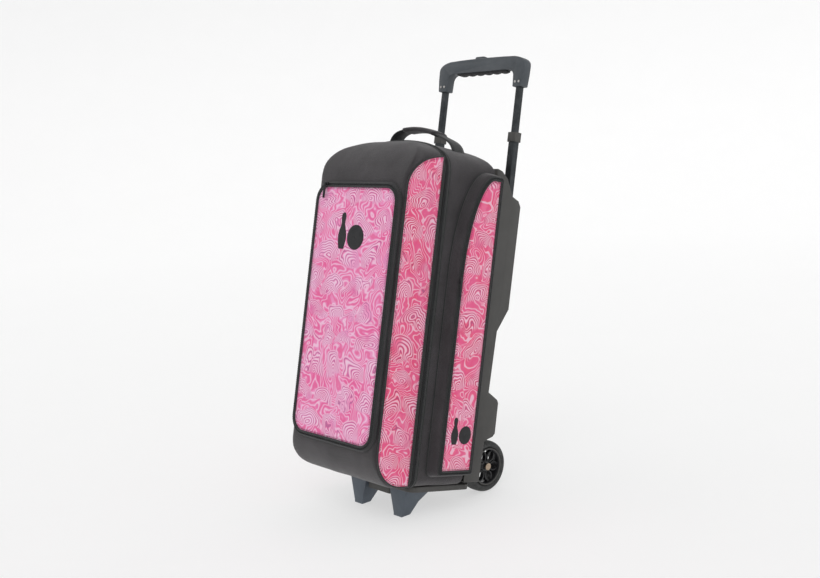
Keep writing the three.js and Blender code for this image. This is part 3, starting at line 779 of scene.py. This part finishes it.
def add_pocket(side, body, flap, nodes, level, rim, depth, face_grow, puff, printed):
    """A zipped pocket: a gusset wall, a zip round its rim and a padded printed flap."""
    gusset_node, panel_node, zip_node = nodes
    plane = Plane(side, level)
    slope = face_grow
    wall = [(0, 0), (1.2 * MM, depth * 0.2), (0.6 * MM - slope * 0.5, depth * 0.6), (-slope, depth - 0.4 * MM),
            (-slope - 3 * MM, depth - 0.4 * MM), (-3.5 * MM, 0)]
    gusset = band(gusset_node + "_cloth", plane, rim, wall)
    dress(gusset, body, "case_fabric", replaces=[gusset_node])
    base_cord = band(gusset_node + "_piping", plane, rim, round_section(1.9 * MM, 8, (0.4 * MM, 1.2 * MM)))
    dress(base_cord, body, "zip_tape")
    top = offset(rim, -slope)
    section = zip_band_section(-11 * MM, -0.3 * MM, depth, depth + 2.6 * MM)
    tape = band(zip_node + "_tape", plane, top, section)
    dress(tape, flap, "zip_tape", replaces=[zip_node])
    middle = offset(top, -4.6 * MM)
    path = [plane.point(a, b, depth + 2.4 * MM) for a, b in middle]
    across = [plane.direction(*n) for n in normals_of(middle)]
    teeth = zip_teeth(zip_node + "_teeth", path, across, [plane.lift] * len(path))
    dress(teeth, flap, "zip_tape", "zip_metal")
    inner = offset(top, -10 * MM)
    panel = crown_panel(panel_node + "_cloth", plane, inner, puff, 4 * MM, edge=depth + 1.6 * MM,
                        wrinkle=1.1 * MM, seed=level * 31)
    dress(panel, flap, "patterned_fabric", printed, replaces=[panel_node])
    centre = (inner[:, 0].min() + inner[:, 0].max()) / 2
    if side == "front":
        add_emblem("front_emblem", panel, flap, plane, centre, 533 * MM, 84 * MM)
    else:
        add_emblem("side_emblem_" + side, panel, flap, plane, centre, 104 * MM, 62 * MM)
    round_cord = round_section(2.0 * MM, 10, (0.3 * MM, depth + 2.4 * MM))
    cord = band(panel_node + "_piping", plane, inner, round_cord)
    dress(cord, flap, "zip_tape")
    seam_line = offset(inner, -4.5 * MM)
    seam = stitches(panel_node + "_stitches", plane, seam_line, lambda a, b: depth + 3.6 * MM)
    dress(seam, flap, "webbing", "thread")
    return plane, inner


def add_pockets():
    low, high = bag_box("front_pocket_zip")
    gusset_low, _ = bag_box("front_pocket_gusset")
    depth = LID_FRONT - gusset_low[1]
    add_pocket("front", "lid", "front_flap", ("front_pocket_gusset", "front_pocket_panel", "front_pocket_zip"),
               LID_FRONT, rounded_rect(low[0], low[2], high[0], high[2], 44 * MM), depth, 0.5 * MM, 5 * MM,
               "patterned_fabric")
    for side, _ in SIDES:
        names = tuple(f"side_pocket_{part}_{side}" for part in ("gusset", "panel", "zip"))
        low, high = bag_box(names[0])
        rim = side_pocket_outline(low, high)
        add_pocket(side, "chassis", "side_flap_" + side, names, CASE_HALF, rim, high[0] - low[0],
                   6 * MM, 4.5 * MM, "patterned_side")


# ------------------------------------------------------------ carry strap

# The strap's line over the bag's top, in (x, z) millimetres.
STRAP_ROUTE = ((-121, 726), (-116, 772), (-96, 794), (-50, 801), (0, 797), (50, 782), (92, 762), (112, 726))


def spline(points, parts):
    """Points along a smooth curve through the given points, with its direction at each."""
    given = [Vector((*p, 0)) for p in points]
    given = [given[0] * 2 - given[1], *given, given[-1] * 2 - given[-2]]
    path = []
    for i in range(1, len(given) - 2):
        a, b, c, d = given[i - 1:i + 3]
        for k in range(parts):
            s = k / parts
            path.append(0.5 * (2 * b + (c - a) * s + (2 * a - 5 * b + 4 * c - d) * s * s
                               + (3 * b - a - 3 * c + d) * s ** 3))
    path.append(given[-2])
    return path


def add_carry_strap():
    low, high = bag_box("carry_strap")
    centre_y = (low[1] + high[1]) / 2
    half_width = (high[1] - low[1]) / 2
    line = spline(STRAP_ROUTE, 9)
    path, ways = [], []
    for i, point in enumerate(line):
        along = (line[min(i + 1, len(line) - 1)] - line[max(i - 1, 0)]).normalized()
        path.append(Vector((point.x * MM, centre_y, point.y * MM)))
        ways.append((Vector((0, 1, 0)), Vector((-along.y, 0, along.x))))
    web = [(-half_width, 0.6 * MM), (-half_width, 2.8 * MM), (-half_width * 0.5, 3.6 * MM),
           (half_width * 0.5, 3.6 * MM), (half_width, 2.8 * MM), (half_width, 0.6 * MM), (0, 0)]
    strap = sweep("carry_strap_webbing", path, web, ways, closed=False)
    dress(strap, "chassis", "webbing", replaces=["carry_strap"])
    wrap_low, wrap_high = bag_box("carry_wrap")
    wrap_half = (wrap_high[1] - wrap_low[1]) / 2
    inside = [i for i, p in enumerate(path) if wrap_low[0] <= p.x <= wrap_high[0]]
    oval = []
    for k in range(20):
        angle = 2 * math.pi * k / 20
        oval.append((wrap_half * math.copysign(abs(math.cos(angle)) ** 0.55, math.cos(angle)),
                     2 * MM + 6 * MM * math.copysign(abs(math.sin(angle)) ** 0.8, math.sin(angle))))
    wrap = sweep("carry_wrap_pad", [path[i] for i in inside], oval, [ways[i] for i in inside], closed=False)
    dress(wrap, "chassis", "webbing", "case_fabric", replaces=["carry_wrap"])


# ------------------------------------------------------------------ emblems

def laid_on(name, target, plane, rows):
    """A thin printed patch: rows of (a, b) points, all the same length, dropped onto a panel's face."""
    inward = BAG.to_3x3() @ -plane.lift
    vertices, faces = [], []
    for row in rows:
        for a, b in row:
            start = BAG @ plane.point(a, b, 120 * MM)
            hit, place, _, _ = target.ray_cast(start, inward)
            vertices.append(BAG_INVERSE @ (place - inward * 0.5 * MM if hit else start + inward * 110 * MM))
    width = len(rows[0])
    for i in range(len(rows) - 1):
        for k in range(width - 1):
            first = i * width + k
            faces.append((first, first + 1, first + width + 1, first + width))
    patch = mesh_object(name, vertices, faces)
    thick = patch.modifiers.new("thick", "SOLIDIFY")
    thick.thickness = 0.5 * MM
    return applied(patch)


def disc_rows(a, b, radius):
    angles = [2 * math.pi * k / 36 for k in range(37)]
    return [[(a + r * math.cos(angle), b + r * math.sin(angle)) for angle in angles]
            for r in np.linspace(0.3 * MM, radius, 6)]


def pin_rows(a, b, height):
    """A skittle standing at (a, b)."""
    shape = ((0, 0.10), (0.06, 0.125), (0.22, 0.165), (0.36, 0.175), (0.50, 0.14), (0.64, 0.085), (0.72, 0.07),
             (0.80, 0.085), (0.90, 0.095), (0.97, 0.07), (1.0, 0.03))
    heights = np.linspace(0, 1, 34)
    halves = np.interp(heights, [s[0] for s in shape], [s[1] for s in shape])
    return [[(a + height * half * u, b + height * h) for u in np.linspace(-1, 1, 9)]
            for h, half in zip(heights, halves)]


def add_emblem(name, target, body, plane, a, b, size):
    """A plain skittle beside a ball."""
    shapes = [("pin", pin_rows(a - 0.34 * size, b - 0.5 * size, size)),
              ("ball", disc_rows(a + 0.22 * size, b - 0.16 * size, 0.34 * size))]
    for label, rows in shapes:
        patch = laid_on(f"{name}_{label}", target, plane, rows)
        dress(patch, body, "webbing", "print_ink")


# ------------------------------------------------------- hard-ware finishes

def add_hard_parts():
    finishes = [
        ("back_shell", "chassis", 2.0 * MM, "shell_plastic"), ("base_tray", "chassis", 2.0 * MM, "shell_plastic"),
        ("foot_left", "chassis", 2.4 * MM, "foot_plastic"), ("foot_right", "chassis", 2.4 * MM, "foot_plastic"),
        ("axle_bracket_left", "chassis", 1.6 * MM, "shell_plastic"),
        ("axle_bracket_right", "chassis", 1.6 * MM, "shell_plastic"),
        ("grip", "upper_stage", 5.0 * MM, "grip_plastic"), ("finger_grip", "upper_stage", 1.2 * MM, "soft_grip"),
        ("release_button", "release_button", 1.2 * MM, "grip_plastic"),
    ]
    for side, _ in SIDES:
        finishes += [
            ("collar_" + side, "middle_stage", 1.2 * MM, "shell_plastic"),
            ("axle_cap_" + side, "chassis", 1.2 * MM, "steel"),
            ("side_slider_" + side, "side_slider_" + side, 0.8 * MM, "zip_metal"),
            ("side_pull_" + side, "side_pull_" + side, 0.6 * MM, "zip_metal"),
        ]
    for name in ("front", "main"):
        finishes += [(name + "_slider", name + "_slider", 0.8 * MM, "zip_metal"),
                     (name + "_pull", name + "_pull", 0.6 * MM, "zip_metal")]
    for name, body, bevel, slot in finishes:
        piece = refined(name, bevel, merge=name != "back_shell")
        material = "bronze_cap" if name.startswith("axle_cap") else slot
        dress(piece, body, slot, material, replaces=[name])


def lathe(name, profile, x_sign, segments=96):
    """A closed turned piece about the axle; the profile's points are (radius, x)."""
    vertices, faces = [], []
    count = len(profile)
    for i in range(segments):
        angle = 2 * math.pi * i / segments
        for radius, x in profile:
            vertices.append((x_sign * x, radius * math.cos(angle), radius * math.sin(angle)))
    for i in range(segments):
        j = (i + 1) % segments
        for k in range(count):
            m = (k + 1) % count
            faces.append((i * count + k, j * count + k, j * count + m, i * count + m))
    return mesh_object(name, vertices, faces)


def add_wheels():
    for side, sign in SIDES:
        low, high = bag_box("tyre_" + side)
        outer = max(abs(low[0]), abs(high[0]))
        inner = min(abs(low[0]), abs(high[0]))
        radius = high[2]
        rim = bag_box("hub_" + side)[1][2]
        half = (outer - inner) / 2
        middle = (outer + inner) / 2
        profile = [(rim + 0.3 * MM, inner + 5 * MM)]
        for i in range(21):
            t = -1 + 2 * i / 20
            crown = (1 - abs(t) ** 3.4) ** 0.55 if abs(t) < 1 else 0
            profile.append((radius - 9 * MM + 9 * MM * crown, middle + half * t))
        profile.append((rim + 0.3 * MM, outer - 5 * MM))
        tyre = lathe("tyre_" + side + "_tread", profile, sign)
        dress(tyre, "wheel_" + side, "tyre_rubber", replaces=["tyre_" + side])
        add_hub(side, sign, rim, inner, outer)


def add_hub(side, sign, rim, inner, outer):
    face = outer - 5 * MM
    pieces = [lathe("rim", [(rim - 5 * MM, inner + 6 * MM), (rim, inner + 5 * MM), (rim, face + 1 * MM),
                            (rim - 1.5 * MM, face + 2.5 * MM), (rim - 4.5 * MM, face + 1.5 * MM),
                            (rim - 6 * MM, face - 3 * MM)], sign)]
    boss = 15 * MM
    pieces.append(lathe("boss", [(4.4 * MM, inner + 6 * MM), (boss, inner + 6 * MM), (boss, face - 6 * MM),
                                 (boss - 3 * MM, face - 2.5 * MM), (4.4 * MM, face - 2.5 * MM)], sign, 48))
    reach = rim - 5 * MM
    for k in range(6):
        turn = 2 * math.pi * k / 6
        for bend in (-1, 1):
            path, ways = [], []
            for i in range(13):
                t = i / 12
                along = boss - 1.5 * MM + (reach - boss + 3 * MM) * t
                sideways = bend * (3 * MM + 7.5 * MM * math.sin(math.pi * t) ** 0.9)
                y = along * math.cos(turn) - sideways * math.sin(turn)
                z = along * math.sin(turn) + sideways * math.cos(turn)
                path.append(Vector((sign * (face - 8 * MM), y, z)))
                ways.append((Vector((0, -math.sin(turn), math.cos(turn))), Vector((sign, 0, 0))))
            width = 1.9 * MM
            section = [(-width, -7 * MM), (-width, 3.4 * MM), (-width * 0.4, 4.4 * MM), (width * 0.4, 4.4 * MM),
                       (width, 3.4 * MM), (width, -7 * MM)]
            pieces.append(sweep("spoke", path, section, ways, closed=False, smooth=False))
    ring = lathe("rim_ring_" + side, [(rim - 3.5 * MM, face + 1.4 * MM), (rim - 0.5 * MM, face + 1.4 * MM),
                                      (rim - 0.8 * MM, face + 3.4 * MM), (rim - 3 * MM, face + 3.4 * MM)], sign)
    dress(ring, "wheel_" + side, "hub_plastic", "shell_plastic")
    hub = joined("hub_" + side + "_spokes", pieces)
    hub.data.set_sharp_from_angle(angle=math.radians(35))
    dress(hub, "wheel_" + side, "hub_plastic", replaces=["hub_" + side])


def finish_cad_nodes():
    """Gives each CAD node that stays its procedural material."""
    slots = {entry["node"]: entry["material_slot"] for entry in frame["record"]["subparts"]}
    for name, piece in frame["nodes"].items():
        if piece.hide_render:
            continue
        piece.data.materials.clear()
        piece.data.materials.append(MATERIALS[slots[name]])
        piece.data.polygons.foreach_set("use_smooth", [True] * len(piece.data.polygons))
        piece.data.set_sharp_from_angle(angle=math.radians(35))


def add_padding():
    for name in ("base_pad", "back_pad", "ball_shelf_1", "ball_shelf_2"):
        pad = refined(name, 4 * MM, 3)
        dress(pad, "chassis", "foam", replaces=[name])


# ------------------------------------------------------------------- stage

CAMERA_FROM_AXLE = Vector((1.9382, -1.9076, 0.8477))
CAMERA_YAW = math.radians(-47.44)
CAMERA_PITCH = math.radians(8.54)
CAMERA_ROLL = math.radians(2.58)
CAMERA_LENS = 48.46


def add_camera():
    yaw, pitch, roll = CAMERA_YAW, CAMERA_PITCH, CAMERA_ROLL
    forward = Vector((math.sin(yaw) * math.cos(pitch), math.cos(yaw) * math.cos(pitch), -math.sin(pitch)))
    level = Vector((math.cos(yaw), -math.sin(yaw), 0))
    down = forward.cross(level)
    right = level * math.cos(roll) + down * math.sin(roll)
    up = -(down * math.cos(roll) - level * math.sin(roll))
    data = bpy.data.cameras.new("camera")
    data.lens = CAMERA_LENS
    data.sensor_width = 36
    camera = bpy.data.objects.new("camera", data)
    rotation = Matrix((right, up, -forward)).transposed().to_4x4()
    camera.matrix_world = Matrix.Translation(CAMERA_FROM_AXLE + Vector((0, AXLE_Y, AXLE_Z))) @ rotation
    bpy.context.scene.collection.objects.link(camera)
    bpy.context.scene.camera = camera


def add_sun(name, place, strength, softness):
    data = bpy.data.lights.new(name, "SUN")
    data.energy = strength
    data.angle = math.radians(softness)
    light = bpy.data.objects.new(name, data)
    light.rotation_euler = Vector(place).to_track_quat("Z", "Y").to_euler()
    bpy.context.scene.collection.objects.link(light)


def add_stage():
    """A wide pale bowl that is floor and backdrop in one, under an open sky and soft suns."""
    material, tree, bsdf = shader("pale_floor", (0.45, 0.45, 0.45), 0.95)
    bsdf.inputs["Emission Color"].default_value = (1, 1, 1, 1)
    height = node(tree, "ShaderNodeSeparateXYZ")
    tree.links.new(tree.nodes.new("ShaderNodeTexCoord").outputs["Object"], height.inputs[0])
    glow = node(tree, "ShaderNodeMapRange", From_Max=3.5, To_Min=0.545, To_Max=0.43)
    tree.links.new(height.outputs[2], glow.inputs[0])
    tree.links.new(glow.outputs[0], bsdf.inputs["Emission Strength"])
    grain = noise_value(tree, bag_coordinates(tree), 3, 2)
    set_colour(tree, bsdf, ramp(tree, grain, (0.3, (0.446, 0.446, 0.446)), (0.7, (0.454, 0.454, 0.454))))
    flat, sweep_radius, top, sectors = 6.0, 4.0, 8.0, 96
    rings = [(r, 0.0) for r in (1.0, 3.0, flat)]
    for angle in map(math.radians, range(6, 91, 6)):
        rings.append((flat + sweep_radius * math.sin(angle), sweep_radius * (1 - math.cos(angle))))
    rings.append((flat + sweep_radius, top))
    turns = [2 * math.pi * k / sectors for k in range(sectors)]
    vertices = [(0, 0, 0)]
    vertices += [(r * math.cos(turn), r * math.sin(turn), z) for r, z in rings for turn in turns]
    faces = [(0, 1 + k, 1 + (k + 1) % sectors) for k in range(sectors)]
    for i in range(len(rings) - 1):
        for k in range(sectors):
            low, high = 1 + i * sectors, 1 + (i + 1) * sectors
            after = (k + 1) % sectors
            faces.append((low + k, high + k, high + after, low + after))
    mesh = bpy.data.meshes.new("floor")
    mesh.from_pydata(vertices, [], faces)
    mesh.polygons.foreach_set("use_smooth", [True] * len(mesh.polygons))
    mesh.materials.append(material)
    floor = bpy.data.objects.new("floor", mesh)
    bpy.context.scene.collection.objects.link(floor)
    world = bpy.data.worlds.new("studio")
    world.use_nodes = True
    world.node_tree.nodes["Background"].inputs[0].default_value = (1, 1, 1, 1)
    world.node_tree.nodes["Background"].inputs[1].default_value = 0.5
    bpy.context.scene.world = world
    add_sun("key", (1.1, -1.6, 1.7), 0.95, 40)
    add_sun("fill", (-1.3, -1.5, 1.2), 0.45, 60)
    bpy.context.scene.view_settings.view_transform = "Standard"


add_camera()
add_case()
add_main_zip()
add_lid_strips()
add_pockets()
add_carry_strap()
add_hard_parts()
add_padding()
add_wheels()
finish_cad_nodes()
add_stage()
